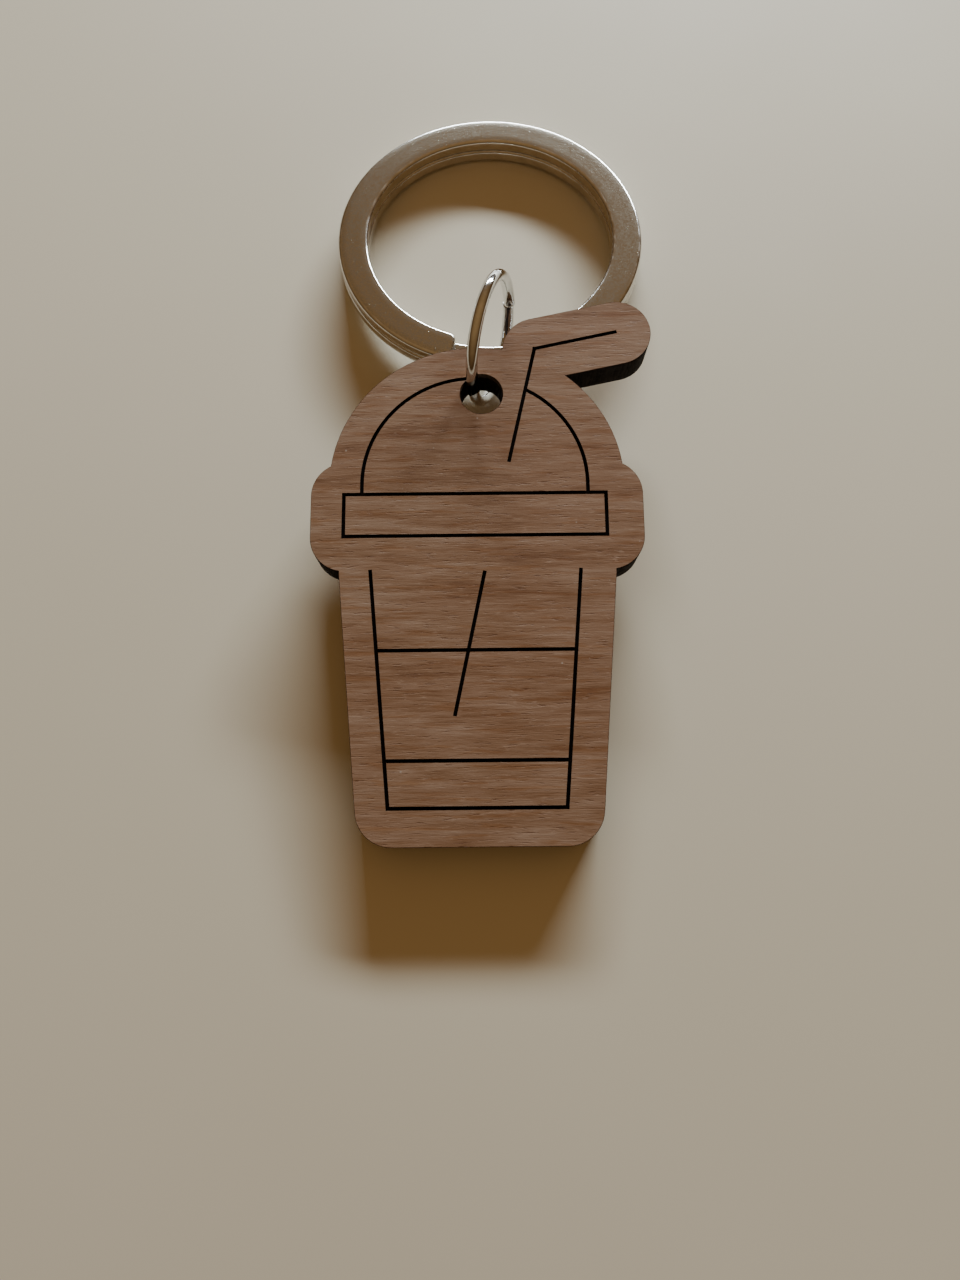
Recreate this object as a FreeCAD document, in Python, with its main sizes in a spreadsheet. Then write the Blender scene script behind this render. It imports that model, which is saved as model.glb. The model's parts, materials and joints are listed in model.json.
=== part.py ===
import FreeCAD, Part
import math
import os
import re
import Sketcher

# A wooden charm in the shape of a takeaway cup with a dome lid and a bent straw.
# It hangs on a round wire jump ring, and the jump ring hangs on a flat split key ring.
# The keychain lies on a flat surface at z = 0, +Y points from the cup's foot to the key ring.

# ---------------------------------------------------------------- driving dimensions (mm, degrees)
SIZES = {
    # icon that is engraved on the charm, measured from the middle of the lid's lower line
    "lid_width": (21.3, "width of the lid's band"),
    "lid_height": (3.55, "height of the lid's band"),
    "dome_radius": (9.2, "radius of the dome lid's arc"),
    "dome_foot": (0.9, "straight foot between the lid's band and the dome's arc"),
    "cup_gap": (2.95, "gap between the lid's lower line and the top of the cup's sides"),
    "cup_top_width": (16.85, "cup's width at the top of its sides"),
    "cup_foot_width": (13.7, "cup's width at its foot"),
    "cup_foot_depth": (21.65, "cup's foot below the lid's lower line"),
    "level_high_depth": (9.4, "upper drink line below the lid's lower line"),
    "level_low_depth": (18.05, "lower drink line below the lid's lower line"),
    "stirrer_top_across": (0.72, "stirrer's upper end, sideways"),
    "stirrer_foot_across": (1.67, "stirrer's lower end, sideways to the left"),
    "stirrer_top_depth": (3.1, "stirrer's upper end below the lid's lower line"),
    "stirrer_foot_depth": (14.47, "stirrer's lower end below the lid's lower line"),
    "straw_tip_across": (11.9, "straw's mouth end, sideways"),
    "straw_tip_height": (17.75, "straw's mouth end above the lid's lower line"),
    "straw_bend_across": (5.09, "straw's bend, sideways"),
    "straw_bend_height": (16.3, "straw's bend above the lid's lower line"),
    "straw_foot_across": (2.83, "straw's lower end, sideways"),
    "straw_foot_height": (6.38, "straw's lower end above the lid's lower line"),
    "line_width": (0.3, "width of an engraved line"),
    "line_depth": (0.35, "depth of an engraved line"),
    "engraving_shift_across": (-0.165, "sideways error of the engraving against the cut outline"),
    "engraving_shift_height": (0.07, "height error of the engraving against the cut outline"),
    # cut outline and plies of the charm
    "margin": (2.85, "wood left outside the icon's lines"),
    "cup_side_inset": (0.15, "how much less wood is left beside the cup"),
    "hole_diameter": (3.55, "hole for the jump ring"),
    "hole_across": (0.445, "hole's centre, sideways"),
    "hole_height": (12.32, "hole's centre above the lid's lower line"),
    "front_thickness": (0.6, "front veneer"),
    "core_thickness": (1.9, "core ply"),
    "back_thickness": (0.6, "back veneer"),
    # jump ring
    "jump_outer_diameter": (11.4, "jump ring across the outside"),
    "jump_wire": (1.0, "jump ring's wire"),
    "jump_seam": (0.06, "gap of the jump ring's butt seam"),
    "jump_seam_angle": (72.0, "place of the seam round the jump ring"),
    # split key ring
    "key_ring_outer_diameter": (28.0, "split ring across the outside"),
    "strip_width": (2.75, "radial width of the split ring's flat wire"),
    "strip_thickness": (1.15, "thickness of the split ring's flat wire"),
    "strip_rounding": (0.3, "rounding of the flat wire's edges"),
    "coil_gap": (0.05, "gap between the split ring's two coils"),
    "lower_coil_start": (-29.0, "angle of the lower coil's free end"),
    "lower_coil_turn": (304.0, "turn of the lower coil up to the crossing"),
    "crossing_turn": (35.0, "turn in which the wire climbs to the upper coil"),
    "upper_coil_turn": (304.0, "turn of the upper coil after the crossing"),
    # places of the three pieces as they lie
    "jump_x": (0.401, "jump ring's centre"),
    "jump_y": (7.8915, "jump ring's centre"),
    "jump_axis_azimuth": (-17.6, "compass angle of the jump ring's axis from +X"),
    "jump_axis_rise": (7.3, "rise of the jump ring's axis above level"),
    "key_ring_step_x": (0.193, "split ring's centre, sideways from the jump ring's"),
    "key_ring_step_y": (0.0758, "how far the near strip's middle is from above the jump ring's centre"),
    "key_ring_lift": (0.434, "height of the split ring's near edge above the wire that lies under it"),
    "charm_turn": (-0.57, "turn of the charm in its own plane"),
    "charm_lift": (0.0288, "charm's back above the split ring's upper coil"),
    "charm_reach": (0.573, "how much further than the wire's circle the charm passes over the coils"),
    "wire_room": (0.03477, "room between the slanting, curved wire and the edge of the hole"),
    "wire_side": (59.7, "side of the hole that the wire leans to, from the key ring's side"),
}

doc = FreeCAD.newDocument("CupKeychain")
sheet = doc.addObject("Spreadsheet::Sheet", "Sizes")
for row, (alias, (number, meaning)) in enumerate(SIZES.items(), start=1):
    sheet.set("A%d" % row, meaning)
    sheet.set("B%d" % row, str(number))
    sheet.setAlias("B%d" % row, alias)
doc.recompute()
places = doc.addObject("App::VarSet", "Places")


def with_sheet(formula):
    """Names in a formula are cells of the sheet, or places worked out from them."""
    def full_name(match):
        name = match.group(1)
        return ("Sizes." if name in SIZES else "Places.") + name
    return re.sub(r"\{(\w+)\}", full_name, formula)


def work_out(name, formula, meaning):
    """A place or angle that follows from the sheet."""
    places.addProperty("App::PropertyFloat", name, "Places", meaning)
    places.setExpression(name, with_sheet(formula))
    doc.recompute()


def value(formula):
    """Present value of a formula, used to draw a sketch near its final shape."""
    return float(sheet.evalExpression(with_sheet(formula)))


# ---------------------------------------------------------------- sketch helpers
def new_body(name):
    body = doc.addObject("PartDesign::Body", name)
    body.Label = name
    return body


def placement_formula(base, axis="0; 0; 1", angle="0"):
    """Placement as a formula: a base point and a turn about an axis through it."""
    move = "create(<<vector>>; %s; %s; %s)" % base
    turn = "create(<<rotation>>; create(<<vector>>; %s); %s)" % (axis, angle)
    return "create(<<placement>>; %s; %s)" % (move, turn)


def new_sketch(body, name, plane, offset=("0", "0", "0"), turn="0"):
    """Sketch on one of the body's own origin planes, moved by formulas in the plane's own
    axes and turned about its vertical axis."""
    sketch = body.newObject("Sketcher::SketchObject", name)
    support = [item for item in body.Origin.OriginFeatures if item.Role == plane][0]
    sketch.AttachmentSupport = (support, [""])
    sketch.MapMode = "FlatFace"
    sketch.setExpression("AttachmentOffset", with_sheet(placement_formula(offset, "0; 1; 0", turn)))
    doc.recompute()
    return sketch


def bind(sketch, kind, *where_and_formula):
    """Adds a dimension whose value is a formula of the sheet."""
    where = where_and_formula[:-1]
    formula = where_and_formula[-1]
    index = sketch.addConstraint(Sketcher.Constraint(kind, *where, value(formula)))
    sketch.setExpression("Constraints[%d]" % index, with_sheet(formula))


def tie(sketch, kind, *where):
    sketch.addConstraint(Sketcher.Constraint(kind, *where))


def pin_point(sketch, geometry, vertex, across, height):
    """Fixes a point at two formulas from the sketch's origin."""
    bind(sketch, "DistanceX", -1, 1, geometry, vertex, across)
    bind(sketch, "DistanceY", -1, 1, geometry, vertex, height)


START, END, CENTRE = 1, 2, 3
UP = FreeCAD.Vector(0, 0, 1)


def vector(across, height):
    return FreeCAD.Vector(across, height, 0)


def rounded_hull(sketch, corners, radius):
    """Outline round discs of one radius at the corners, listed counter-clockwise."""
    points = [vector(value(across), value(height)) for across, height in corners]
    count = len(points)
    reach = value(radius)
    normals = []
    for index in range(count):
        side = points[(index + 1) % count] - points[index]
        normals.append(math.atan2(-side.x, side.y))
    arcs = []
    for index in range(count):
        first = normals[index - 1]
        last = normals[index]
        while last < first:
            last += 2 * math.pi
        circle = Part.Circle(points[index], UP, reach)
        arcs.append(sketch.addGeometry(Part.ArcOfCircle(circle, first, last)))
    for index in range(count):
        following = (index + 1) % count
        out = vector(math.cos(normals[index]), math.sin(normals[index])) * reach
        side = Part.LineSegment(points[index] + out, points[following] + out)
        line = sketch.addGeometry(side)
        tie(sketch, "Tangent", arcs[index], END, line, START)
        tie(sketch, "Tangent", line, END, arcs[following], START)
    for arc, (across, height) in zip(arcs, corners):
        pin_point(sketch, arc, CENTRE, across, height)
        bind(sketch, "Radius", arc, radius)


def dome_outline(sketch, centre_height, radius):
    """Half disc on two straight feet that stand on the sketch's X axis."""
    middle = value(centre_height)
    reach = value(radius)
    arc = sketch.addGeometry(Part.ArcOfCircle(Part.Circle(vector(0, middle), UP, reach), 0, math.pi))
    left = sketch.addGeometry(Part.LineSegment(vector(-reach, middle), vector(-reach, 0)))
    base = sketch.addGeometry(Part.LineSegment(vector(-reach, 0), vector(reach, 0)))
    right = sketch.addGeometry(Part.LineSegment(vector(reach, 0), vector(reach, middle)))
    tie(sketch, "Tangent", arc, END, left, START)
    tie(sketch, "Tangent", right, END, arc, START)
    tie(sketch, "Coincident", left, END, base, START)
    tie(sketch, "Coincident", base, END, right, START)
    tie(sketch, "Vertical", left)
    tie(sketch, "Vertical", right)
    tie(sketch, "PointOnObject", base, START, -1)
    pin_point(sketch, arc, CENTRE, "0", centre_height)
    bind(sketch, "Radius", arc, radius)


def stroke_outline(sketch, start, end, width):
    """Straight engraved line, with square ends half a line's width past its two points."""
    first = vector(value(start[0]), value(start[1]))
    last = vector(value(end[0]), value(end[1]))
    axis = sketch.addGeometry(Part.LineSegment(first, last), True)
    pin_point(sketch, axis, START, *start)
    pin_point(sketch, axis, END, *end)
    along = (last - first).normalize() * (value(width) / 2)
    side = vector(-along.y, along.x)
    corners = [first - along - side, last + along - side, last + along + side, first - along + side]
    lines = []
    for index in range(4):
        segment = Part.LineSegment(corners[index], corners[(index + 1) % 4])
        lines.append(sketch.addGeometry(segment))
    for index in range(4):
        tie(sketch, "Coincident", lines[index], END, lines[(index + 1) % 4], START)
    near_side, far_end, far_side, near_end = lines
    tie(sketch, "Parallel", near_side, axis)
    tie(sketch, "Parallel", far_side, axis)
    tie(sketch, "Perpendicular", far_end, axis)
    tie(sketch, "Perpendicular", near_end, axis)
    half = "(%s) / 2" % width
    bind(sketch, "Distance", axis, START, near_side, half)
    bind(sketch, "Distance", axis, START, far_side, half)
    bind(sketch, "Distance", axis, START, near_end, half)
    bind(sketch, "Distance", axis, END, far_end, half)


def arc_stroke_outline(sketch, centre_height, radius, width, start_line, end_line):
    """Engraved arc about a point on the Y axis. Each end lies on a line through two points,
    given as formulas; None ends the arc level with its centre."""
    middle = vector(0, value(centre_height))
    inner_radius = "%s - (%s) / 2" % (radius, width)
    outer_radius = "%s + (%s) / 2" % (radius, width)

    def meeting_angle(line):
        (from_across, from_height), (to_across, to_height) = line
        foot = vector(value(from_across), value(from_height)) - middle
        run = vector(value(to_across), value(to_height)) - middle - foot
        a = run.dot(run)
        b = 2 * foot.dot(run)
        c = foot.dot(foot) - value(radius) ** 2
        share = (-b + math.sqrt(b * b - 4 * a * c)) / (2 * a)
        meeting = foot + run * share
        return math.atan2(meeting.y, meeting.x)

    first = meeting_angle(start_line) if start_line else 0
    last = meeting_angle(end_line) if end_line else math.pi
    arcs = []
    for reach in (inner_radius, outer_radius):
        circle = Part.Circle(middle, UP, value(reach))
        arc = sketch.addGeometry(Part.ArcOfCircle(circle, first, last))
        pin_point(sketch, arc, CENTRE, "0", centre_height)
        bind(sketch, "Radius", arc, reach)
        arcs.append(arc)
    inner, outer = arcs
    for line, end, angle in ((start_line, START, first), (end_line, END, last)):
        ray = vector(math.cos(angle), math.sin(angle))
        near = middle + ray * value(inner_radius)
        far = middle + ray * value(outer_radius)
        cap = sketch.addGeometry(Part.LineSegment(near, far))
        tie(sketch, "Coincident", cap, START, inner, end)
        tie(sketch, "Coincident", cap, END, outer, end)
        if line is None:
            bind(sketch, "DistanceY", -1, 1, cap, START, centre_height)
            tie(sketch, "Horizontal", cap)
        else:
            points = [vector(value(across), value(height)) for across, height in line]
            guide = sketch.addGeometry(Part.LineSegment(*points), True)
            pin_point(sketch, guide, START, *line[0])
            pin_point(sketch, guide, END, *line[1])
            tie(sketch, "PointOnObject", cap, START, guide)
            tie(sketch, "PointOnObject", cap, END, guide)


# ---------------------------------------------------------------- feature helpers
def pad(body, sketch, length):
    feature = body.newObject("PartDesign::Pad", "Pad_" + sketch.Name)
    feature.Profile = sketch
    feature.setExpression("Length", with_sheet(length))
    doc.recompute()
    return feature


def pocket(body, sketch, depth):
    """Cuts down from the sketch; depth None cuts right through."""
    before = body.Shape.Volume
    feature = body.newObject("PartDesign::Pocket", "Pocket_" + sketch.Name)
    feature.Profile = sketch
    if depth is None:
        feature.Type = "ThroughAll"
    else:
        feature.setExpression("Length", with_sheet(depth))
    doc.recompute()
    if not body.Shape.Volume < before:
        raise RuntimeError(feature.Name + " cuts nothing")
    return feature


def revolve(body, sketch, angle):
    """Turns a sketch about its own vertical axis, counter-clockwise seen from above."""
    feature = body.newObject("PartDesign::Revolution", "Revolution_" + sketch.Name)
    feature.Profile = sketch
    feature.ReferenceAxis = (sketch, ["V_Axis"])
    feature.setExpression("Angle", with_sheet(angle))
    doc.recompute()
    return feature


def place(body, base, turns):
    """Binds a body's place; turns are (axis, angle) formulas, the last one applied first."""
    steps = [placement_formula(base)]
    steps += [placement_formula(("0", "0", "0"), axis, angle) for axis, angle in turns]
    body.setExpression("Placement", with_sheet(" * ".join(steps)))


# ---------------------------------------------------------------- how the pieces lie on each other
# The jump ring stands on the surface, and its wire lifts the split ring's near side. The charm
# stands on its foot edge, and its top end lies over that side of the split ring.
work_out("jump_middle", "({jump_outer_diameter} - {jump_wire}) / 2", "radius of the wire's centre line")
work_out("jump_z", "{jump_middle} * cos({jump_axis_rise}) + {jump_wire} / 2", "jump ring's centre")
work_out("key_ring_tilt",
         "asin(({jump_wire} + {key_ring_lift}) / ({key_ring_outer_diameter} - 2 * {strip_rounding})) / 1 deg",
         "rise of the split ring's near side")
work_out("key_ring_y",
         "{jump_y} + {key_ring_step_y}"
         " + ({key_ring_outer_diameter} - {strip_width}) / 2 * cos({key_ring_tilt})",
         "split ring's centre")
work_out("charm_thickness", "{front_thickness} + {core_thickness} + {back_thickness}", "the plies")
work_out("foot_reach",
         "{cup_foot_depth} * cos({charm_turn}) + {margin}"
         " + ({cup_foot_width} / 2 - {cup_side_inset}) * sin(abs({charm_turn}))",
         "from the lid's lower line down to the charm's lowest edge")
work_out("hole_side", "{hole_across} * cos({charm_turn}) - {hole_height} * sin({charm_turn})",
         "hole's centre from the middle of the lid's lower line, sideways")
work_out("hole_up", "{hole_across} * sin({charm_turn}) + {hole_height} * cos({charm_turn})",
         "hole's centre from the middle of the lid's lower line, along the charm")
work_out("charm_tilt",
         "asin(({jump_wire} + {key_ring_lift} + 2 * {strip_thickness} + {coil_gap} + {charm_lift})"
         " / ({foot_reach} + {hole_up} + {jump_middle} - {strip_width} / 2 + {charm_reach})) / 1 deg",
         "rise of the charm from its foot to its top")
work_out("wire_above",
         "{jump_z} - ({foot_reach} + {hole_up}) * sin({charm_tilt}) - {charm_thickness} / 2",
         "jump ring's centre above the middle of the wood at the hole")
work_out("wire_slant", "tan({jump_axis_rise}) + tan({charm_tilt}) * sin(abs({jump_axis_azimuth}))",
         "slope of the wire along its ring's axis")
for face, height, bend, slip in (
        ("front", "{charm_thickness} / 2",
         "{charm_thickness} * (({charm_thickness} / 2 - 2 * {wire_above}) / (4 * {jump_middle})"
         " + tan({charm_tilt}) * cos({jump_axis_azimuth}))",
         "{charm_thickness} * (tan({jump_axis_rise}) / 2"
         " + tan({charm_tilt}) * sin(abs({jump_axis_azimuth})))"),
        ("back", "-{charm_thickness} / 2",
         "{charm_thickness} * ({charm_thickness} / 2 + 2 * {wire_above}) / (4 * {jump_middle})",
         "-{charm_thickness} * tan({jump_axis_rise}) / 2")):
    work_out(face + "_bend", bend, "how far the wire curves towards the key ring, up to the %s face" % face)
    work_out(face + "_slip", slip, "how far the wire slants along the ring's axis, up to the %s face" % face)
    lean = "{%s_lean}" % face
    work_out(face + "_lean", "{%s_bend} * cos({wire_side}) + {%s_slip} * sin({wire_side})" % (face, face),
             "the part of both that goes towards the side that the wire leans to")
    work_out(face + "_slope",
             "(" + height + " - {wire_above}) / {jump_middle} + tan({charm_tilt}) * cos({jump_axis_azimuth})",
             "slope of the wire in its ring's plane at the %s face" % face)
    work_out(face + "_half", "{jump_wire} / 2 * sqrt(1 + {%s_slope} ^ 2 + {wire_slant} ^ 2)" % face,
             "half the slanting wire's width at the %s face" % face)
    work_out(face + "_play",
             "sqrt(" + lean + " ^ 2 - {%s_bend} ^ 2 - {%s_slip} ^ 2" % (face, face)
             + " + ({hole_diameter} / 2 - {%s_half} - {wire_room}) ^ 2) - " % face + lean,
             "how far the wire may lie from the hole's middle before it meets the %s edge" % face)
work_out("wire_play", "min({front_play}; {back_play})", "how far the wire lies from the hole's middle")
work_out("hole_back",
         "sqrt({jump_middle} ^ 2 - ({wire_above} / cos({jump_axis_rise})) ^ 2)"
         " + {wire_play} * cos({wire_side})",
         "hole's centre behind the jump ring's, along the ring's plane")
work_out("hole_beside", "{wire_above} * tan({jump_axis_rise}) + {wire_play} * sin({wire_side})",
         "hole's centre beside the jump ring's, along its axis")
work_out("charm_x",
         "{jump_x} + {hole_back} * sin({jump_axis_azimuth})"
         " + {hole_beside} * cos({jump_axis_azimuth}) - {hole_side}",
         "middle of the lid's lower line, back face")
work_out("charm_y",
         "{jump_y} - {hole_back} * cos({jump_axis_azimuth})"
         " + {hole_beside} * sin({jump_axis_azimuth}) - {hole_up} * cos({charm_tilt})",
         "middle of the lid's lower line, back face")


# ---------------------------------------------------------------- the icon's points and lines
DOME_CENTRE = "{lid_height} + {dome_foot}"
CUP_TOP_HALF = "{cup_top_width} / 2"
CUP_FOOT_HALF = "{cup_foot_width} / 2"


def cup_half_width(depth):
    """Half the cup's width at a depth below the lid, along its sloping sides."""
    slope = "({cup_foot_width} - {cup_top_width}) / 2 / ({cup_foot_depth} - {cup_gap})"
    return "%s + %s * (%s - {cup_gap})" % (CUP_TOP_HALF, slope, depth)


STRAW_TIP = ("{straw_tip_across}", "{straw_tip_height}")
STRAW_BEND = ("{straw_bend_across}", "{straw_bend_height}")
STRAW_FOOT = ("{straw_foot_across}", "{straw_foot_height}")
HOLE_CENTRE = ("{hole_across}", "{hole_height}")
LID_HALF = "{lid_width} / 2"
LEVEL_HIGH_HALF = cup_half_width("{level_high_depth}")
LEVEL_LOW_HALF = cup_half_width("{level_low_depth}")

STROKES = {
    "lid_line_lower": (("-" + LID_HALF, "0"), (LID_HALF, "0")),
    "lid_line_upper": (("-" + LID_HALF, "{lid_height}"), (LID_HALF, "{lid_height}")),
    "lid_line_left": (("-" + LID_HALF, "0"), ("-" + LID_HALF, "{lid_height}")),
    "lid_line_right": ((LID_HALF, "0"), (LID_HALF, "{lid_height}")),
    "dome_foot_left": (("-{dome_radius}", "{lid_height}"), ("-{dome_radius}", DOME_CENTRE)),
    "dome_foot_right": (("{dome_radius}", "{lid_height}"), ("{dome_radius}", DOME_CENTRE)),
    "cup_side_left": (("-" + CUP_TOP_HALF, "-{cup_gap}"), ("-" + CUP_FOOT_HALF, "-{cup_foot_depth}")),
    "cup_side_right": ((CUP_TOP_HALF, "-{cup_gap}"), (CUP_FOOT_HALF, "-{cup_foot_depth}")),
    "cup_foot": (("-" + CUP_FOOT_HALF, "-{cup_foot_depth}"), (CUP_FOOT_HALF, "-{cup_foot_depth}")),
    "level_high": (("-(%s)" % LEVEL_HIGH_HALF, "-{level_high_depth}"),
                   (LEVEL_HIGH_HALF, "-{level_high_depth}")),
    "level_low": (("-(%s)" % LEVEL_LOW_HALF, "-{level_low_depth}"),
                  (LEVEL_LOW_HALF, "-{level_low_depth}")),
    "stirrer": (("{stirrer_top_across}", "-{stirrer_top_depth}"),
                ("-{stirrer_foot_across}", "-{stirrer_foot_depth}")),
    "straw_upper": (STRAW_TIP, STRAW_BEND),
    "straw_lower": (STRAW_BEND, STRAW_FOOT),
}


def engraved(point):
    """A point of the icon as the engraver put it, a little off the cut outline."""
    across, height = point
    return ("(%s) + {engraving_shift_across}" % across, "(%s) + {engraving_shift_height}" % height)


# ---------------------------------------------------------------- charm: three glued plies
def charm_ply(name, floor, thickness):
    """One ply of the charm, from a height above the charm's back face."""
    body = new_body(name)
    level = ("0", "0", floor)
    lid = new_sketch(body, name + "_lid", "XY_Plane", level)
    rounded_hull(lid, [("-" + LID_HALF, "0"), (LID_HALF, "0"), (LID_HALF, "{lid_height}"),
                       ("-" + LID_HALF, "{lid_height}")], "{margin}")
    pad(body, lid, thickness)
    dome = new_sketch(body, name + "_dome", "XY_Plane", level)
    dome_outline(dome, DOME_CENTRE, "{dome_radius} + {margin}")
    pad(body, dome, thickness)
    top = "%s - {cup_side_inset}" % CUP_TOP_HALF
    foot = "%s - {cup_side_inset}" % CUP_FOOT_HALF
    cup = new_sketch(body, name + "_cup", "XY_Plane", level)
    rounded_hull(cup, [("-(%s)" % foot, "-{cup_foot_depth}"), (foot, "-{cup_foot_depth}"),
                       (top, "-{cup_gap}"), ("-(%s)" % top, "-{cup_gap}")], "{margin}")
    pad(body, cup, thickness)
    straw_lower = new_sketch(body, name + "_straw_lower", "XY_Plane", level)
    rounded_hull(straw_lower, [STRAW_FOOT, STRAW_BEND], "{margin}")
    pad(body, straw_lower, thickness)
    straw_upper = new_sketch(body, name + "_straw_upper", "XY_Plane", level)
    rounded_hull(straw_upper, [STRAW_BEND, STRAW_TIP], "{margin}")
    pad(body, straw_upper, thickness)
    hole = new_sketch(body, name + "_hole", "XY_Plane", ("0", "0", "%s + %s" % (floor, thickness)))
    circle = Part.Circle(vector(*map(value, HOLE_CENTRE)), UP, value("{hole_diameter} / 2"))
    rim = hole.addGeometry(circle)
    pin_point(hole, rim, CENTRE, *HOLE_CENTRE)
    bind(hole, "Radius", rim, "{hole_diameter} / 2")
    pocket(body, hole, None)
    place(body, ("{charm_x}", "{charm_y}", "{foot_reach} * sin({charm_tilt})"),
          [("1; 0; 0", "{charm_tilt}"), ("0; 0; 1", "{charm_turn}")])
    return body


def engrave(body, face):
    """Cuts the icon's lines into the front face."""
    for name, (start, end) in STROKES.items():
        sketch = new_sketch(body, name, "XY_Plane", ("0", "0", face))
        stroke_outline(sketch, engraved(start), engraved(end), "{line_width}")
        pocket(body, sketch, "{line_depth}")
    centre = ("0", DOME_CENTRE)
    straw_line = (STRAW_FOOT, STRAW_BEND)
    hole_line = (centre, HOLE_CENTRE)
    for name, start_line, end_line in (("dome_line_left", hole_line, None),
                                       ("dome_line_right", None, straw_line)):
        # the arc is drawn about the sketch's own Y axis, so the sketch takes the engraver's error
        shift = ("{engraving_shift_across}", "{engraving_shift_height}", face)
        sketch = new_sketch(body, name, "XY_Plane", shift)
        arc_stroke_outline(sketch, DOME_CENTRE, "{dome_radius}", "{line_width}", start_line, end_line)
        pocket(body, sketch, "{line_depth}")


back_veneer = charm_ply("back_veneer", "0", "{back_thickness}")
core_ply = charm_ply("core_ply", "{back_thickness}", "{core_thickness}")
front_veneer = charm_ply("front_veneer", "{back_thickness} + {core_thickness}", "{front_thickness}")
engrave(front_veneer, "{back_thickness} + {core_thickness} + {front_thickness}")


# ---------------------------------------------------------------- jump ring: one turn of round wire
SEAM_TURN = "{jump_seam} / {jump_middle} * 180 / pi"
jump_ring = new_body("jump_ring")
wire = new_sketch(jump_ring, "jump_wire_section", "XZ_Plane", turn="{jump_seam_angle}")
circle = Part.Circle(vector(value("{jump_middle}"), 0), UP, value("{jump_wire} / 2"))
section = wire.addGeometry(circle)
pin_point(wire, section, CENTRE, "{jump_middle}", "0")
bind(wire, "Radius", section, "{jump_wire} / 2")
revolve(jump_ring, wire, "360 - " + SEAM_TURN)
place(jump_ring, ("{jump_x}", "{jump_y}", "{jump_z}"),
      [("0; 0; 1", "{jump_axis_azimuth}"), ("0; 1; 0", "90 - {jump_axis_rise}")])


# ---------------------------------------------------------------- split key ring: two flat coils
def strip_section(name, floor, turn):
    """Rounded section of the flat wire at an angle round the ring."""
    sketch = new_sketch(split_ring, name, "XZ_Plane", turn=turn)
    outer = "{key_ring_outer_diameter} / 2 - {strip_rounding}"
    inner = "{key_ring_outer_diameter} / 2 - {strip_width} + {strip_rounding}"
    low = "%s + {strip_rounding}" % floor
    high = "%s + {strip_thickness} - {strip_rounding}" % floor
    rounded_hull(sketch, [(inner, low), (outer, low), (outer, high), (inner, high)], "{strip_rounding}")
    return sketch


COIL_RISE = "({strip_thickness} + {coil_gap})"
CROSSING_START = "({lower_coil_start} + {lower_coil_turn})"
split_ring = new_body("split_ring")
lower_coil = strip_section("lower_coil_section", "0", "{lower_coil_start}")
revolve(split_ring, lower_coil, "{lower_coil_turn}")
crossing_section = strip_section("crossing_section", "0", CROSSING_START)
crossing = split_ring.newObject("PartDesign::AdditiveHelix", "crossing")
crossing.Profile = crossing_section
crossing.ReferenceAxis = (crossing_section, ["V_Axis"])
crossing.Mode = "pitch-height-angle"
crossing.setExpression("Pitch", with_sheet(COIL_RISE + " * 360 / {crossing_turn}"))
crossing.setExpression("Height", with_sheet(COIL_RISE))
doc.recompute()
upper_coil = strip_section("upper_coil_section", COIL_RISE, CROSSING_START + " + {crossing_turn}")
revolve(split_ring, upper_coil, "{upper_coil_turn}")
edge_reach = "({key_ring_outer_diameter} / 2 - {strip_rounding}) * sin({key_ring_tilt})"
edge_drop = "{strip_rounding} * (1 - cos({key_ring_tilt}))"
ring_place = ("{jump_x} + {key_ring_step_x}", "{key_ring_y}", edge_reach + " + " + edge_drop)
place(split_ring, ring_place,
      [("1; 0; 0", "-{key_ring_tilt}")])


# ---------------------------------------------------------------- checks and STEP files
doc.recompute()
for item in doc.Objects:
    if "Invalid" in item.State or "Error" in item.State:
        raise RuntimeError("%s failed: %s" % (item.Name, item.State))
bodies = [back_veneer, core_ply, front_veneer, jump_ring, split_ring]
for body in bodies:
    if body.Shape.isNull() or not body.Shape.isValid() or len(body.Shape.Solids) != 1:
        raise RuntimeError(body.Label + " is not one valid solid")
os.makedirs("parts", exist_ok=True)
for body in bodies:
    body.Shape.exportStep("parts/%s.step" % body.Label)
    box = body.Shape.BoundBox
    print("%-13s %8.2f mm3  x %7.3f %7.3f  y %7.3f %7.3f  z %6.3f %6.3f" % (
        body.Label, body.Shape.Volume, box.XMin, box.XMax, box.YMin, box.YMax, box.ZMin, box.ZMax))
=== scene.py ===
import json
import math

import bmesh
import bpy
from mathutils import Matrix, Vector


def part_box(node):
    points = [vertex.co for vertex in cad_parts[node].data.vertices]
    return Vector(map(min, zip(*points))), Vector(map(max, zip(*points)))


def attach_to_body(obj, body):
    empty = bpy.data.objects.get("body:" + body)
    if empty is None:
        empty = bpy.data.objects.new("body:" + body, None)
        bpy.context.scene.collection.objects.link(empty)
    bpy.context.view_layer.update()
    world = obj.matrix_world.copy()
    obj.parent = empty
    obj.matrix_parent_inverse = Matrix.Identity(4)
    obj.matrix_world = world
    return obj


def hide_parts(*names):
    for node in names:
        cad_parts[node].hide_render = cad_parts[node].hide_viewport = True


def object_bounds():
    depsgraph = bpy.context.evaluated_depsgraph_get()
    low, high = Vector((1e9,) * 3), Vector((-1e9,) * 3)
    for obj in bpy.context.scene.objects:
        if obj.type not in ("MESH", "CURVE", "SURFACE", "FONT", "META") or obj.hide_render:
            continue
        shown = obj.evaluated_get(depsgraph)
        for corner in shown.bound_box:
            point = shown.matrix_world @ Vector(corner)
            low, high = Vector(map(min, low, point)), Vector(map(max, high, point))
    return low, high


# A keychain on a pale floor: an engraved wooden cup charm, a wire jump ring and a split key ring.
# Lengths on the keychain are in millimetres and become metres by MM. The room's are in metres.

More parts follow.
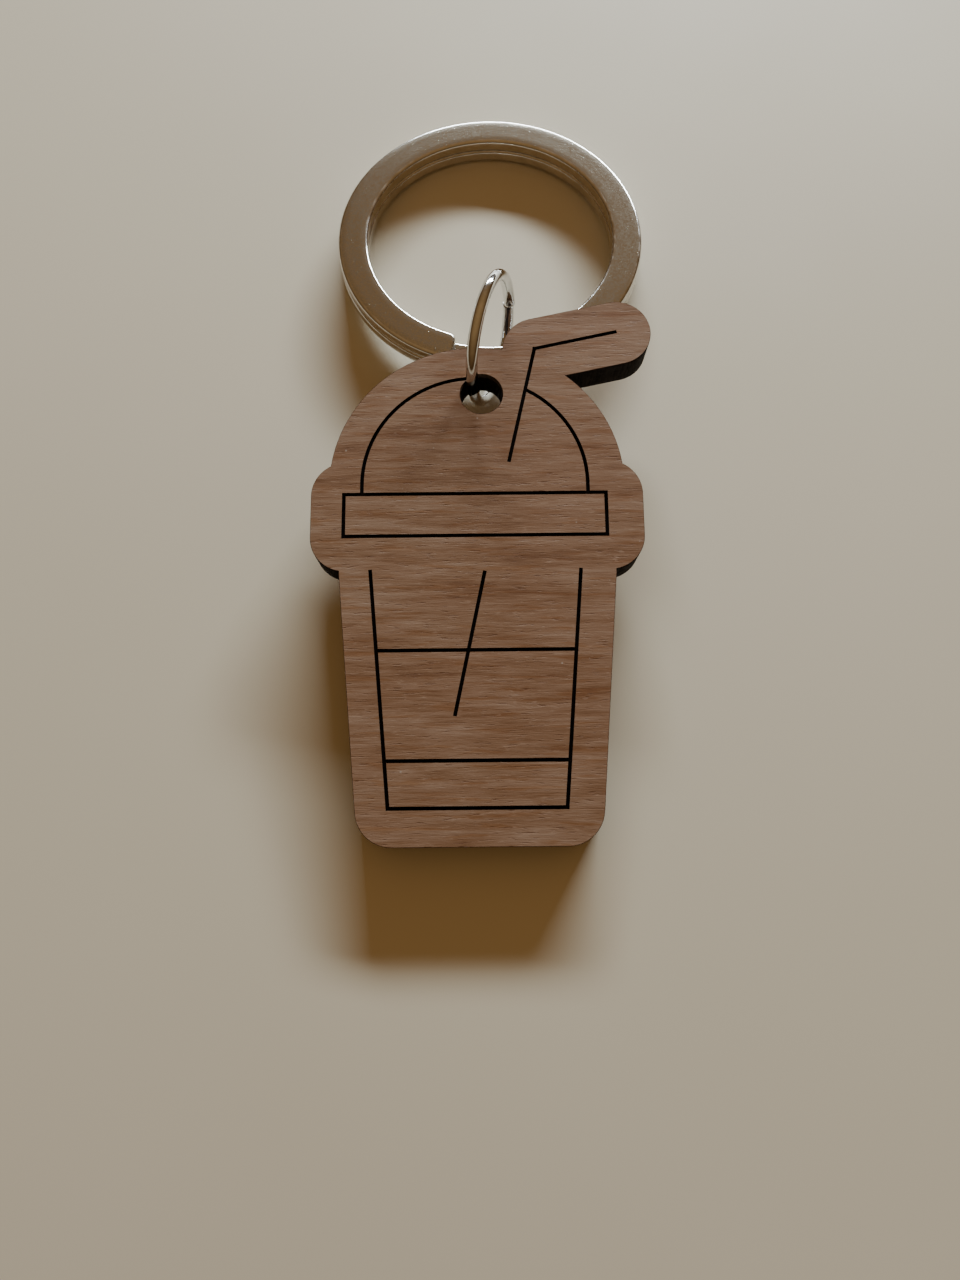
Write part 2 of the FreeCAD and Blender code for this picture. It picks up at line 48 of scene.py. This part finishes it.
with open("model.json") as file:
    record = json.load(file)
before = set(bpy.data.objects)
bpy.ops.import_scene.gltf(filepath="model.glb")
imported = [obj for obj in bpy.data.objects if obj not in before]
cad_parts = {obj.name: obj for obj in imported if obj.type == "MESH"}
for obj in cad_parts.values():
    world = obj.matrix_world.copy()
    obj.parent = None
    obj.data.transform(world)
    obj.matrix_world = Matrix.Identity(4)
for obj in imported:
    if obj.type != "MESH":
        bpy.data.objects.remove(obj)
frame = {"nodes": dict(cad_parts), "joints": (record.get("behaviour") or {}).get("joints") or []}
cad_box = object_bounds()

MM = 0.001
JOINTS = {joint["name"]: joint for joint in frame["joints"]}

# ------------------------------------------------------------------ sizes (mm, degrees)
CHARM_TURN = -0.57
HOLE_RADIUS = 1.775
RIM_BURN = 0.09  # width of the burnt bevel along the charm's outline and hole
LINE_BURN = 0.03  # and along the engraved lines
SHARP_WOOD = 25.0  # an edge above this angle is shaded sharp

WIRE_RADIUS = 0.5
WIRE_SIDES = 28
WIRE_STEPS = 150
WIRE_CUT_ROUNDING = 0.045
WIRE_CUT_REACH = 0.04  # the rounding fades over this length
JUMP_RADIUS = 5.2  # of the wire's centre line
JUMP_AZIMUTH = -17.6
JUMP_RISE = 7.3
SEAM_ANGLE = 72.0
SEAM_GAP = 0.06
SEAM_OFFSET = 0.10  # how far each cut end is bent out of line
SEAM_SIDE_REACH = 0.8  # the sideways bend fades over this length
SEAM_OUT_REACH = 0.5  # and the outward bend over this one

RING_RADIUS = 13.994  # to the outer edge, a hair inside the CAD ring's
RING_STEPS = 380
STRIP_WIDTH = 2.75
STRIP_THICKNESS = 1.15
STRIP_ROUNDING = 0.3
STRIP_CORNER_STEPS = 5
STRIP_END_ROUNDING = 0.75
STRIP_END_THINNING = 0.22  # share of the narrowing at a rounded end
COIL_GAP = 0.05
COIL_START = -29.0
CROSSING_START = 275.0
CROSSING_END = 310.0
COIL_END = 614.0
SHARP_METAL = 60.0

# ------------------------------------------------------------------ room (m, degrees, W)
FLOOR_HALF_WIDTH = 1.2
WINDOW_PLACE = (0.107, 0.463, 0.166)
WINDOW_SIZE = (0.36, 0.05)
WINDOW_POWER = 4.9
WINDOW_COLOUR = (0.88, 0.97, 1.0)
ROOM_LOW = (0.045, 0.020, 0.006, 1.0)
ROOM_HIGH = (0.250, 0.150, 0.062, 1.0)
CAMERA_PLACE = (-0.001036, -0.040604, 0.077024)
CAMERA_LEAN = 16.812  # from straight down, towards the key ring
CAMERA_ROLL = 1.108
CAMERA_LENS = 27.03
CAMERA_SENSOR = 36.0


# ------------------------------------------------------------------ places of the pieces
def turned(axis, degrees):
    return Matrix.Rotation(math.radians(degrees), 4, axis)


def tilt_of(axis):
    """Turn about X that brings Z to the axis, in degrees."""
    return math.degrees(math.atan2(-axis[1], axis[2]))


def charm_place():
    """The charm's own axes: hole's centre on the back face, X across the cup, Z out of the face."""
    joint = JOINTS["charm_swing"]
    return (Matrix.Translation(joint["pos_m"]) @ turned("X", tilt_of(joint["axis"]))
            @ turned("Z", CHARM_TURN))


def ring_place():
    """The split ring's own axes: centre of its underside, Z up through the loop."""
    joint = JOINTS["jump_ring_travel"]
    return Matrix.Translation(joint["pos_m"]) @ turned("X", tilt_of(joint["axis"]))


def wire_place():
    """The jump ring's own axes: its centre, Z along its axis, X down towards the surface."""
    low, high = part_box("jump_ring")
    return (Matrix.Translation((low + high) / 2) @ turned("Z", JUMP_AZIMUTH)
            @ turned("Y", 90 - JUMP_RISE))


CHARM = charm_place()
RING = ring_place()
LOOP = wire_place()


# ------------------------------------------------------------------ material helpers
class Recipe:
    """A material in the making. Its patterns follow a piece's own axes, in millimetres."""

    def __init__(self, name, place):
        self.material = bpy.data.materials.new(name)
        self.material.use_nodes = True
        self.tree = self.material.node_tree
        self.shader = self.tree.nodes["Principled BSDF"]
        self.place = place

    def node(self, kind, inputs=(), **settings):
        """Adds a node; inputs are (socket, value or output socket) pairs."""
        made = self.tree.nodes.new("ShaderNode" + kind)
        for key, setting in settings.items():
            setattr(made, key, setting)
        for key, given in inputs:
            if isinstance(given, bpy.types.NodeSocket):
                self.tree.links.new(given, made.inputs[key])
            else:
                made.inputs[key].default_value = given
        return made

    def maths(self, operation, first, second):
        return self.node("Math", [(0, first), (1, second)], operation=operation).outputs[0]

    def weighted(self, *parts):
        """Sum of (share, output) pairs."""
        total = self.maths("MULTIPLY", parts[0][1], parts[0][0])
        for share, output in parts[1:]:
            total = self.added(total, share, output)
        return total

    def added(self, total, share, output):
        """The total plus a share of the output."""
        made = self.node("Math", [(0, output), (1, share), (2, total)], operation="MULTIPLY_ADD")
        return made.outputs[0]

    def where(self, stretch=(1, 1, 1)):
        """The piece's own coordinates; a larger stretch makes a finer pattern along that axis."""
        place = self.node("TexCoord").outputs["Object"]
        scale = [MM / share for share in stretch]
        mapping = self.node("Mapping", [
            ("Vector", place), ("Location", self.place.to_translation()),
            ("Rotation", self.place.to_euler()), ("Scale", scale)], vector_type="TEXTURE")
        return mapping.outputs[0]

    def noise(self, stretch, detail=4.0, roughness=0.55, distortion=0.0):
        made = self.node("TexNoise", [("Vector", self.where(stretch)), ("Scale", 1.0),
                                      ("Detail", detail), ("Roughness", roughness),
                                      ("Distortion", distortion)])
        return made.outputs["Fac"]

    def cells(self, size):
        """Random tone of small cells, and the distance from each cell's middle."""
        made = self.node("TexVoronoi", [("Vector", self.where()), ("Scale", 1.0 / size)])
        tone = self.node("SeparateColor", [("Color", made.outputs["Color"])]).outputs[0]
        return tone, made.outputs["Distance"]

    def specks(self, size, share, soft=0.15):
        """1 in the middle of a small share of cells, 0 elsewhere."""
        tone, distance = self.cells(size)
        chosen = self.maths("GREATER_THAN", tone, 1.0 - share)
        return self.maths("MULTIPLY", chosen, self.step(distance, 0.3 - soft, 0.3, 1.0, 0.0))

    def ramp(self, factor, *stops):
        """Colour ramp; stops are (position, (r, g, b))."""
        made = self.node("ValToRGB", [("Fac", factor)])
        elements = made.color_ramp.elements
        while len(elements) < len(stops):
            elements.new(0.5)
        for element, (position, colour) in zip(elements, stops):
            element.position = position
            element.color = (*colour, 1.0)
        return made.outputs[0]

    def step(self, factor, low, high, low_value=0.0, high_value=1.0):
        """Smooth change from low_value to high_value as the factor goes from low to high."""
        made = self.node("MapRange", [("Value", factor), ("From Min", low), ("From Max", high),
                                      ("To Min", low_value), ("To Max", high_value)],
                         interpolation_type="SMOOTHSTEP")
        return made.outputs[0]

    def tinted(self, share, factor, colour, tint, mode="MIX"):
        """The colour changed to the tint by a share of the factor."""
        made = self.node("Mix", [(0, self.maths("MULTIPLY", factor, share)), (6, colour),
                                 (7, (*tint, 1.0))], data_type="RGBA", blend_type=mode)
        return made.outputs[2]

    def paint(self, colour, roughness):
        """Sets the colour and the roughness, each an output socket."""
        self.tree.links.new(colour, self.shader.inputs["Base Color"])
        self.tree.links.new(roughness, self.shader.inputs["Roughness"])

    def plain(self, **sockets):
        """Sets numbers that are the same all over, by socket name with _ for spaces."""
        for key, number in sockets.items():
            self.shader.inputs[key.replace("_", " ")].default_value = number

    def relief(self, height, depth, strength=0.8):
        """Bumps of a depth in millimetres."""
        made = self.node("Bump", [("Height", height), ("Distance", depth * MM),
                                  ("Strength", strength)])
        self.tree.links.new(made.outputs[0], self.shader.inputs["Normal"])


# ------------------------------------------------------------------ materials
def cherry_face():
    """Unvarnished reddish-brown veneer; the grain runs across the cup."""
    wood = Recipe("cherry_face", CHARM)
    wave = wood.noise((0.05, 0.14, 0.14), detail=2.0)
    bands = wood.noise((0.10, 0.75, 0.75), detail=5.0, roughness=0.6, distortion=0.3)
    streaks = wood.noise((0.22, 2.6, 2.6), detail=6.0, roughness=0.62, distortion=0.2)
    fibres = wood.noise((0.7, 11.0, 11.0), detail=4.0, roughness=0.7)
    tone = wood.weighted((0.40, bands), (0.38, streaks), (0.22, fibres))
    colour = wood.ramp(tone, (0.37, (0.225, 0.112, 0.056)), (0.46, (0.318, 0.184, 0.108)),
                       (0.54, (0.382, 0.245, 0.166)), (0.65, (0.470, 0.335, 0.255)))
    colour = wood.tinted(0.30, wood.step(wave, 0.35, 0.65), colour, (0.80, 0.62, 0.50), "MULTIPLY")
    patch = wood.step(wood.noise((0.20, 1.9, 1.9), detail=3.0, distortion=0.3), 0.53, 0.66)
    colour = wood.tinted(0.60, patch, colour, (0.86, 0.66, 0.42), "MULTIPLY")
    pore = wood.step(wood.noise((0.8, 7.5, 7.5), detail=2.0), 0.60, 0.72)
    colour = wood.tinted(0.50, pore, colour, (0.15, 0.062, 0.028))
    ray = wood.step(wood.noise((1.1, 5.0, 5.0), detail=2.0), 0.62, 0.74)
    colour = wood.tinted(0.32, ray, colour, (0.58, 0.41, 0.31))
    dust = wood.specks(0.36, 0.0035)
    colour = wood.tinted(0.45, dust, colour, (0.66, 0.60, 0.55))
    wood.paint(colour, wood.step(tone, 0.3, 0.7, 0.66, 0.50))
    wood.plain(Specular_IOR_Level=0.30)
    height = wood.added(wood.weighted((1.0, fibres), (0.8, streaks)), -0.7, pore)
    wood.relief(height, 0.022, 0.7)
    return wood.material


def charred(name, dark, pale, lines_share, ash_share):
    """Laser-burnt wood: soot, fine lines across the thickness, and paler specks of ash."""
    burnt = Recipe(name, CHARM)
    soot = burnt.noise((2.2, 2.2, 2.2), detail=5.0, roughness=0.7)
    lines = burnt.noise((7.0, 7.0, 0.35), detail=3.0)
    tone = burnt.weighted((1.0 - lines_share, soot), (lines_share, lines))
    colour = burnt.ramp(tone, (0.38, dark), (0.64, pale))
    colour = burnt.tinted(0.5, burnt.specks(0.15, ash_share), colour, (0.16, 0.13, 0.11))
    burnt.paint(colour, burnt.step(tone, 0.35, 0.65, 0.95, 0.75))
    burnt.plain(Specular_IOR_Level=0.12)
    burnt.relief(tone, 0.03)
    return burnt.material


def satin_nickel():
    """Tumbled nickel plate on the flats: fine grains, a warm tone and raised points with painted
    glints.
    """
    nickel = Recipe("satin_nickel", RING)
    grain = nickel.cells(0.11)[0]
    haze = nickel.noise((0.9, 0.9, 0.9), detail=4.0)
    fine = nickel.noise((12.0, 12.0, 12.0), detail=3.0)
    tone = nickel.weighted((0.6, grain), (0.4, haze))
    colour = nickel.ramp(tone, (0.25, (0.49, 0.45, 0.38)), (0.75, (0.68, 0.64, 0.57)))
    # Painted glints: a few small specks are made near white in the colour, and the same specks
    # stand up in the bump.
    painted_glint_and_bump = nickel.specks(0.12, 0.02)
    colour = nickel.tinted(1.0, painted_glint_and_bump, colour, (0.96, 0.95, 0.93))
    nickel.paint(colour, nickel.step(tone, 0.2, 0.8, 0.19, 0.14))
    nickel.plain(Metallic=1.0)
    height = nickel.added(nickel.weighted((0.5, grain), (0.5, fine)), 7.0, painted_glint_and_bump)
    nickel.relief(height, 0.003)
    return nickel.material


def polished(name, place, colour, roughness, scratch):
    """Bright plate with a faint haze and hairline scratches."""
    plate = Recipe(name, place)
    haze = plate.noise((0.8, 0.8, 0.8), detail=5.0, roughness=0.65)
    hair = plate.noise((1.2, 16.0, 16.0), detail=2.0)
    dull = [channel * 0.82 for channel in colour]
    plate.paint(plate.ramp(haze, (0.35, dull), (0.65, colour)),
                plate.step(haze, 0.35, 0.7, roughness, roughness * 1.9))
    plate.plain(Metallic=1.0)
    plate.relief(plate.weighted((0.6, haze), (0.4, hair)), scratch, 0.6)
    return plate.material


def pale_floor():
    """Plain warm white, very faintly clouded."""
    matt = Recipe("pale_floor", Matrix.Identity(4))
    cloud = matt.noise((0.02, 0.02, 0.02), detail=3.0)
    colour = matt.ramp(cloud, (0.3, (0.785, 0.708, 0.555)), (0.7, (0.812, 0.736, 0.585)))
    matt.paint(colour, matt.step(cloud, 0.3, 0.7, 0.65, 0.6))
    return matt.material


CHERRY = cherry_face()
BURNT_RIM = charred("burnt_rim", (0.022, 0.008, 0.005), (0.085, 0.032, 0.018), 0.2, 0.0)
BURNT_EDGE = charred("burnt_edge", (0.005, 0.003, 0.002), (0.018, 0.011, 0.008), 0.5, 0.03)
BURNT_LINE = charred("burnt_line", (0.004, 0.002, 0.002), (0.012, 0.006, 0.004), 0.1, 0.01)
BURNT_BORE = charred("burnt_bore", (0.050, 0.036, 0.024), (0.105, 0.078, 0.052), 0.4, 0.03)
SATIN = satin_nickel()
RING_EDGE = polished("ring_edge_nickel", RING, (0.80, 0.78, 0.75), 0.12, 0.004)
RING_CUT = polished("ring_sheared_end", RING, (0.52, 0.50, 0.48), 0.30, 0.02)
WIRE = polished("wire_chrome", LOOP, (0.83, 0.84, 0.86), 0.07, 0.003)
WIRE_CUT = polished("wire_sheared_end", LOOP, (0.42, 0.40, 0.38), 0.35, 0.02)


# ------------------------------------------------------------------ mesh helpers
def finish_mesh(shape, name, place, materials, sharp):
    """Makes an object from a bmesh in a piece's own axes. Edges above an angle stay sharp."""
    bmesh.ops.recalc_face_normals(shape, faces=shape.faces)
    for face in shape.faces:
        face.smooth = True
    for edge in shape.edges:
        if len(edge.link_faces) == 2 and edge.calc_face_angle() > math.radians(sharp):
            edge.smooth = False
    bmesh.ops.transform(shape, matrix=place, verts=shape.verts)
    mesh = bpy.data.meshes.new(name)
    shape.to_mesh(mesh)
    shape.free()
    for material in materials:
        mesh.materials.append(material)
    made = bpy.data.objects.new(name, mesh)
    bpy.context.scene.collection.objects.link(made)
    return made


def attach(piece, body, node_name):
    """The piece stands for a CAD node, which it hides, and moves with a body."""
    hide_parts(node_name)
    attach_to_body(piece, body)


# ------------------------------------------------------------------ charm
CHARM_MATERIALS = [CHERRY, BURNT_RIM, BURNT_EDGE, BURNT_LINE, BURNT_BORE]
WOOD, RIM, EDGE, LINE, BORE = range(5)
WELD = 0.0005 * MM  # corners closer than this are one corner
ONE_FLAT = math.radians(0.4)  # faces that meet below this angle are one face
LEVEL_ROOM = 0.01 * MM
BORE_ROOM = 0.1


def charm_ply(name, node_name, open_side, bore):
    """One ply from its CAD solid: burnt edges and lines, with a burnt bevel along the open face.

    The open side is front, back or None; bore is the material of the hole's wall.
    """
    shape = bmesh.new()
    shape.from_mesh(frame["nodes"][node_name].data)
    bmesh.ops.transform(shape, matrix=CHARM.inverted(), verts=shape.verts)
    bmesh.ops.remove_doubles(shape, verts=shape.verts, dist=WELD)
    bmesh.ops.dissolve_limit(shape, angle_limit=ONE_FLAT, verts=shape.verts, edges=shape.edges)
    shape.normal_update()
    low = min(vertex.co.z for vertex in shape.verts)
    high = max(vertex.co.z for vertex in shape.verts)
    open_level = {"front": high, "back": low}.get(open_side)

    def is_at(vertex, level):
        return abs(vertex.co.z - level) < LEVEL_ROOM

    def is_open(edge):
        return open_level is not None and all(is_at(vertex, open_level) for vertex in edge.verts)

    for face in shape.faces:
        flat = abs(face.normal.z) > 0.9
        on_both_sides = all(is_at(vertex, low) or is_at(vertex, high) for vertex in face.verts)
        middle = face.calc_center_median()
        in_bore = math.hypot(middle.x, middle.y) < (HOLE_RADIUS + BORE_ROOM) * MM
        if not on_both_sides:
            face.material_index = LINE
        elif flat:
            face.material_index = WOOD
        else:
            face.material_index = bore if in_bore else EDGE
    for width, walls in ((RIM_BURN, (EDGE, BORE)), (LINE_BURN, (LINE,))):
        meetings = [{WOOD, wall} for wall in walls]
        edges = [edge for edge in shape.edges if is_open(edge)
                 and {face.material_index for face in edge.link_faces} in meetings]
        if edges:
            bmesh.ops.bevel(shape, geom=edges, offset=width * MM, offset_type="OFFSET", segments=2,
                            profile=0.5, affect="EDGES", clamp_overlap=True, material=RIM)
            shape.normal_update()
    piece = finish_mesh(shape, name, CHARM, CHARM_MATERIALS, SHARP_WOOD)
    for polygon in piece.data.polygons:
        if polygon.material_index == WOOD:
            polygon.use_smooth = False
    attach(piece, "charm", node_name)


charm_ply("charm_front", "front_veneer", "front", BORE)
charm_ply("charm_core", "core_ply", None, EDGE)
charm_ply("charm_back", "back_veneer", "back", EDGE)


# ------------------------------------------------------------------ swept metal
def sweep(sections, side_tags, cap_tag):
    """A solid through sections of points in the same order. A tag is a material index."""
    shape = bmesh.new()
    rings = [[shape.verts.new(point) for point in section] for section in sections]
    count = len(rings[0])
    for first, second in zip(rings, rings[1:]):
        for index in range(count):
            following = (index + 1) % count
            face = shape.faces.new((first[index], first[following],
                                    second[following], second[index]))
            face.material_index = side_tags[index]
    for ring in (rings[0], rings[-1]):
        shape.faces.new(ring).material_index = cap_tag
    return shape


def strip_section(narrowing, thinning):
    """Rounded rectangle of the flat wire as (across, up) points, with the tag of each side.

    The tag is 0 on the two satin flats, and 1 on the polished edges and their roundings.
    """
    half_width = STRIP_WIDTH / 2 - narrowing
    half_height = STRIP_THICKNESS / 2 - thinning
    rounding = min(STRIP_ROUNDING, half_width * 0.9, half_height * 0.9)
    points = []
    tags = []
    for corner, (side, top) in enumerate(((1, -1), (1, 1), (-1, 1), (-1, -1))):
        for index in range(STRIP_CORNER_STEPS + 1):
            angle = math.radians(-90 + corner * 90 + index * 90 / STRIP_CORNER_STEPS)
            points.append((side * (half_width - rounding) + rounding * math.cos(angle),
                           top * (half_height - rounding) + rounding * math.sin(angle)))
            tags.append(1)
        if corner in (1, 3):
            tags[-1] = 0
            for share in (0.25, 0.5, 0.75):
                points.append((side * (half_width - rounding) * (1 - 2 * share), top * half_height))
                tags.append(0)
    return points, tags


def along(start, end, ends, steps):
    """Angles from start to end in even steps, with extra ones close to both ends."""
    first, last = start + ends[-1], end - ends[-1]
    run = [start + angle for angle in ends]
    run += [first + (last - first) * index / steps for index in range(1, steps)]
    return run + [end - angle for angle in reversed(ends)]


def split_ring():
    """Flat wire wound twice, climbing from the lower to the upper coil, with rounded free ends."""
    middle = RING_RADIUS - STRIP_WIDTH / 2
    rise = STRIP_THICKNESS + COIL_GAP
    sections = []
    for angle in along(COIL_START, COIL_END, [0.0, 0.3, 0.9, 1.8, 2.7], RING_STEPS):
        climb = min(1.0, max(0.0, (angle - CROSSING_START) / (CROSSING_END - CROSSING_START)))
        height = rise * (climb * climb * (3 - 2 * climb))
        from_end = math.radians(min(angle - COIL_START, COIL_END - angle)) * middle
        short = max(0.0, STRIP_END_ROUNDING - from_end)
        narrowing = STRIP_END_ROUNDING - math.sqrt(STRIP_END_ROUNDING ** 2 - short ** 2)
        points, tags = strip_section(narrowing, narrowing * STRIP_END_THINNING)
        turn = math.radians(angle)
        sections.append([
            Vector(((middle + across) * math.cos(turn), (middle + across) * math.sin(turn),
                    height + STRIP_THICKNESS / 2 + up)) * MM
            for across, up in points])
    shape = sweep(sections, tags, 2)
    piece = finish_mesh(shape, "key_ring_coils", RING, [SATIN, RING_EDGE, RING_CUT], SHARP_METAL)
    attach(piece, "split_ring", "split_ring")


def jump_ring():
    """One turn of round wire whose two cut ends almost meet, a little out of line."""
    half_gap = math.degrees(SEAM_GAP / 2 / JUMP_RADIUS)
    start = SEAM_ANGLE + half_gap
    end = SEAM_ANGLE + 360 - half_gap
    sections = []
    for angle in along(start, end, [0.0, 0.35, 1.0, 2.2], WIRE_STEPS):
        from_start = math.radians(angle - start) * JUMP_RADIUS
        from_end = math.radians(end - angle) * JUMP_RADIUS
        nearest = min(from_start, from_end)
        radius = WIRE_RADIUS - WIRE_CUT_ROUNDING * math.exp(-(nearest / WIRE_CUT_REACH) ** 2)
        sideways = SEAM_OFFSET * (math.exp(-from_start / SEAM_SIDE_REACH)
                                  - math.exp(-from_end / SEAM_SIDE_REACH))
        outwards = SEAM_OFFSET * (math.exp(-from_end / SEAM_OUT_REACH)
                                  - math.exp(-from_start / SEAM_OUT_REACH))
        turn = math.radians(angle)
        section = []
        for index in range(WIRE_SIDES):
            roll = 2 * math.pi * index / WIRE_SIDES
            reach = JUMP_RADIUS + outwards + radius * math.cos(roll)
            section.append(Vector((reach * math.cos(turn), reach * math.sin(turn),
                                   sideways + radius * math.sin(roll))) * MM)
        sections.append(section)
    shape = sweep(sections, [0] * WIRE_SIDES, 1)
    piece = finish_mesh(shape, "jump_ring_wire", LOOP, [WIRE, WIRE_CUT], SHARP_METAL)
    attach(piece, "jump_ring", "jump_ring")


split_ring()
jump_ring()


# ------------------------------------------------------------------ floor, light and camera
def floor():
    shape = bmesh.new()
    bmesh.ops.create_grid(shape, x_segments=8, y_segments=8, size=FLOOR_HALF_WIDTH)
    mesh = bpy.data.meshes.new("floor")
    shape.to_mesh(mesh)
    shape.free()
    mesh.materials.append(pale_floor())
    made = bpy.data.objects.new("floor", mesh)
    made.location = (0, 0, cad_box[0].z - 0.01 * MM)
    bpy.context.scene.collection.objects.link(made)


def soft_light(name, place, size, power, colour):
    """Area light that faces the keychain."""
    lamp = bpy.data.lights.new(name, "AREA")
    lamp.shape = "RECTANGLE"
    lamp.size, lamp.size_y = size
    lamp.energy = power
    lamp.color = colour
    made = bpy.data.objects.new(name, lamp)
    made.location = place
    made.rotation_euler = (-Vector(place)).to_track_quat("-Z", "Y").to_euler()
    bpy.context.scene.collection.objects.link(made)


def surroundings():
    """Dim warm room, brighter towards the ceiling."""
    world = bpy.data.worlds.new("room")
    bpy.context.scene.world = world
    world.use_nodes = True
    tree = world.node_tree
    direction = tree.nodes.new("ShaderNodeTexCoord")
    parts = tree.nodes.new("ShaderNodeSeparateXYZ")
    shades = tree.nodes.new("ShaderNodeValToRGB")
    background = tree.nodes["Background"]
    tree.links.new(direction.outputs["Generated"], parts.inputs[0])
    tree.links.new(parts.outputs["Z"], shades.inputs["Fac"])
    tree.links.new(shades.outputs[0], background.inputs["Color"])
    low, high = shades.color_ramp.elements
    low.color = ROOM_LOW
    high.color = ROOM_HIGH


def camera():
    """Looks down from above the cup's foot, leaning towards the key ring."""
    lean = math.radians(CAMERA_LEAN)
    roll = math.radians(CAMERA_ROLL)
    forward = Vector((0, math.sin(lean), -math.cos(lean)))
    right = Vector((1, 0, 0))
    down = forward.cross(right)
    turned_right = right * math.cos(roll) + down * math.sin(roll)
    turned_down = down * math.cos(roll) - right * math.sin(roll)
    made = bpy.data.objects.new("camera", bpy.data.cameras.new("camera"))
    bpy.context.scene.collection.objects.link(made)
    axes = Matrix((turned_right, -turned_down, -forward)).transposed()
    made.matrix_world = Matrix.Translation(CAMERA_PLACE) @ axes.to_4x4()
    made.data.lens = CAMERA_LENS
    made.data.sensor_width = CAMERA_SENSOR
    made.data.clip_start = 0.002
    made.data.clip_end = 20.0
    bpy.context.scene.camera = made


floor()
surroundings()
soft_light("window", WINDOW_PLACE, WINDOW_SIZE, WINDOW_POWER, WINDOW_COLOUR)
camera()
